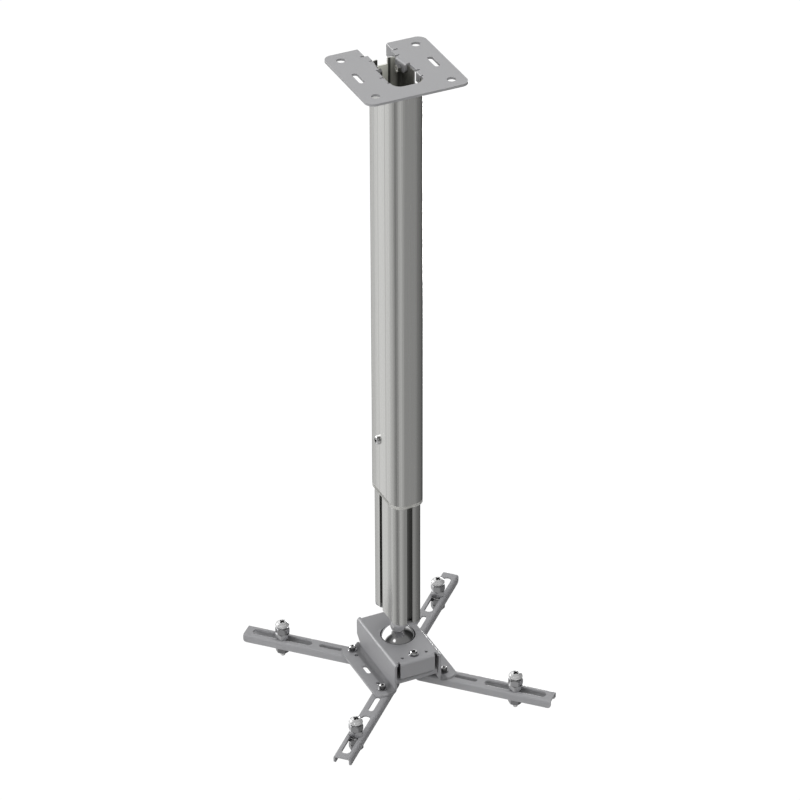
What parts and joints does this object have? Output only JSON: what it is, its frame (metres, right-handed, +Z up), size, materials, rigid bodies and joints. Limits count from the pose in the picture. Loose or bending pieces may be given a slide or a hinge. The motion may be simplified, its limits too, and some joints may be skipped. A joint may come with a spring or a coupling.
{
  "type": "projector ceiling mount",
  "caption": "Telescopic ceiling mount for a projector: square plate with a cable mouth, oval column, ball joint and four swinging slotted arms.",
  "frame": {"origin": "centre of the four ceiling holes on the plate's top face", "axes": "+Z up towards the ceiling, the column hangs down along -Z; -Y is the side with the clamp screw, +Y the side where the cable mouth opens, +X to the right"},
  "size_m": [0.2472, 0.2512, 0.707],
  "materials": {
    "grey_steel": "fine matte grey powder coat on steel sheet",
    "aluminium": "satin anodised, with fine draw lines along the column",
    "grey_plastic": "moulded grey plastic",
    "black_plastic": "moulded black plastic",
    "bright_steel": "bright zinc and nickel plated steel"
  },
  "bodies": {
    "ceiling_mount": {"ceiling_plate": "grey_steel", "outer_column": "aluminium", "end_ring": "grey_plastic", "lock_screw": "bright_steel", "tongue_screws": "bright_steel", "tongue_nuts": "bright_steel"},
    "telescope": {"inner_column": "aluminium", "inner_glide": "black_plastic", "column_foot": "grey_steel"},
    "stud": {"ball_stud": "bright_steel", "stud_nut": "bright_steel"},
    "liner": {"ball_liner": "black_plastic"},
    "bracket": {"bracket_housing": "grey_steel", "clamp_plate": "grey_steel", "clamp_screw": "bright_steel", "clamp_washer": "bright_steel", "clamp_nut": "bright_steel", "pivot_screws": "bright_steel", "pivot_washers": "bright_steel", "pivot_nuts": "bright_steel"},
    "arm_front_right": {"arm_front_right": "grey_steel"},
    "fixing_front_right": {"hollow_bolt_front_right": "bright_steel", "projector_screw_front_right": "bright_steel", "bolt_nuts_front_right": "bright_steel", "bolt_washer_front_right": "bright_steel"},
    "arm_back_right": {"arm_back_right": "grey_steel"},
    "fixing_back_right": {"hollow_bolt_back_right": "bright_steel", "projector_screw_back_right": "bright_steel", "bolt_nuts_back_right": "bright_steel", "bolt_washer_back_right": "bright_steel"},
    "arm_back_left": {"arm_back_left": "grey_steel"},
    "fixing_back_left": {"hollow_bolt_back_left": "bright_steel", "projector_screw_back_left": "bright_steel", "bolt_nuts_back_left": "bright_steel", "bolt_washer_back_left": "bright_steel"},
    "arm_front_left": {"arm_front_left": "grey_steel"},
    "fixing_front_left": {"hollow_bolt_front_left": "bright_steel", "projector_screw_front_left": "bright_steel", "bolt_nuts_front_left": "bright_steel", "bolt_washer_front_left": "bright_steel"}
  },
  "joints": [
    {"name": "telescope_slide", "type": "slide", "parent": "ceiling_mount", "child": "telescope", "axis": [0, 0, 1], "range_m": [-0.17, 0.13]},
    {"name": "ball_turn", "type": "hinge", "parent": "telescope", "child": "stud", "pos_m": [0, 0, -0.65714], "axis": [0, 0, 1], "continuous": true},
    {"name": "ball_pitch", "type": "hinge", "parent": "stud", "child": "liner", "pos_m": [0, 0, -0.65714], "axis": [1, 0, 0], "range_deg": [-20, 20]},
    {"name": "ball_roll", "type": "hinge", "parent": "liner", "child": "bracket", "pos_m": [0, 0, -0.65714], "axis": [0, 1, 0], "range_deg": [-20, 20]},
    {"name": "arm_front_right_swing", "type": "hinge", "parent": "bracket", "child": "arm_front_right", "pos_m": [0.0345, -0.0365, -0.6842], "axis": [0, 0, 1], "range_deg": [-45, 45]},
    {"name": "fixing_front_right_slide", "type": "slide", "parent": "arm_front_right", "child": "fixing_front_right", "axis": [0.7071, -0.7071, 0], "range_m": [-0.028, 0.028]},
    {"name": "arm_back_right_swing", "type": "hinge", "parent": "bracket", "child": "arm_back_right", "pos_m": [0.0345, 0.0365, -0.6842], "axis": [0, 0, 1], "range_deg": [-45, 45]},
    {"name": "fixing_back_right_slide", "type": "slide", "parent": "arm_back_right", "child": "fixing_back_right", "axis": [0.7071, 0.7071, 0], "range_m": [-0.028, 0.028]},
    {"name": "arm_back_left_swing", "type": "hinge", "parent": "bracket", "child": "arm_back_left", "pos_m": [-0.0345, 0.0365, -0.6842], "axis": [0, 0, 1], "range_deg": [-45, 45]},
    {"name": "fixing_back_left_slide", "type": "slide", "parent": "arm_back_left", "child": "fixing_back_left", "axis": [-0.7071, 0.7071, 0], "range_m": [-0.028, 0.028]},
    {"name": "arm_front_left_swing", "type": "hinge", "parent": "bracket", "child": "arm_front_left", "pos_m": [-0.0345, -0.0365, -0.6842], "axis": [0, 0, 1], "range_deg": [-45, 45]},
    {"name": "fixing_front_left_slide", "type": "slide", "parent": "arm_front_left", "child": "fixing_front_left", "axis": [-0.7071, -0.7071, 0], "range_m": [-0.028, 0.028]}
  ]
}
